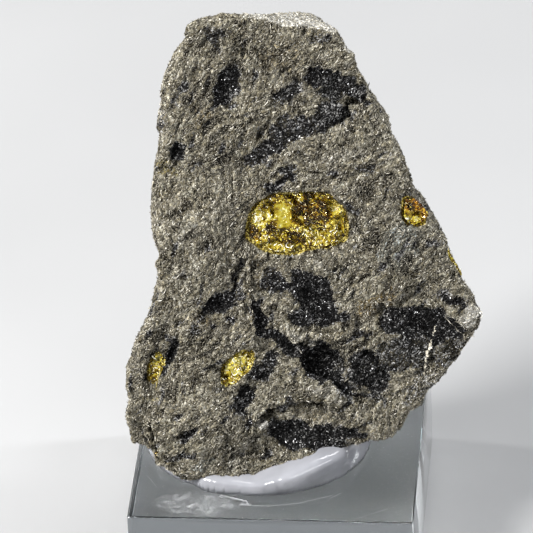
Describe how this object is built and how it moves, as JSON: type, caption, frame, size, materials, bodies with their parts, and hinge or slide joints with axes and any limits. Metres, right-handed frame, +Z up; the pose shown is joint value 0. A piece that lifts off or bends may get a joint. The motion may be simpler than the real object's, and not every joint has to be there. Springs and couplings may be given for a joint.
{
  "type": "plaffeiite mineral specimen",
  "caption": "Grey coaly sandstone fragment with golden resin lenses, held by white putty on a clear square acrylic display base.",
  "frame": {"origin": "centre of the display base's underside", "axes": "+Z up, -Y out of the base's front edge, the side the stone's resin-bearing face looks to, +X to its right"},
  "size_m": [0.0392, 0.0318, 0.0646],
  "materials": {
    "sandstone": "broken granular stone",
    "resin": "clear crazed golden resin",
    "putty": "smooth glossy white putty",
    "acrylic": "clear polished acrylic"
  },
  "bodies": {
    "root": {"sandstone_matrix": "sandstone", "resin_centre_lens": "resin", "resin_lower_lens": "resin", "resin_left_lens": "resin", "resin_right_edge_lens": "resin", "resin_right_rim": "resin", "mounting_putty": "putty", "acrylic_base": "acrylic"}
  },
  "joints": []
}
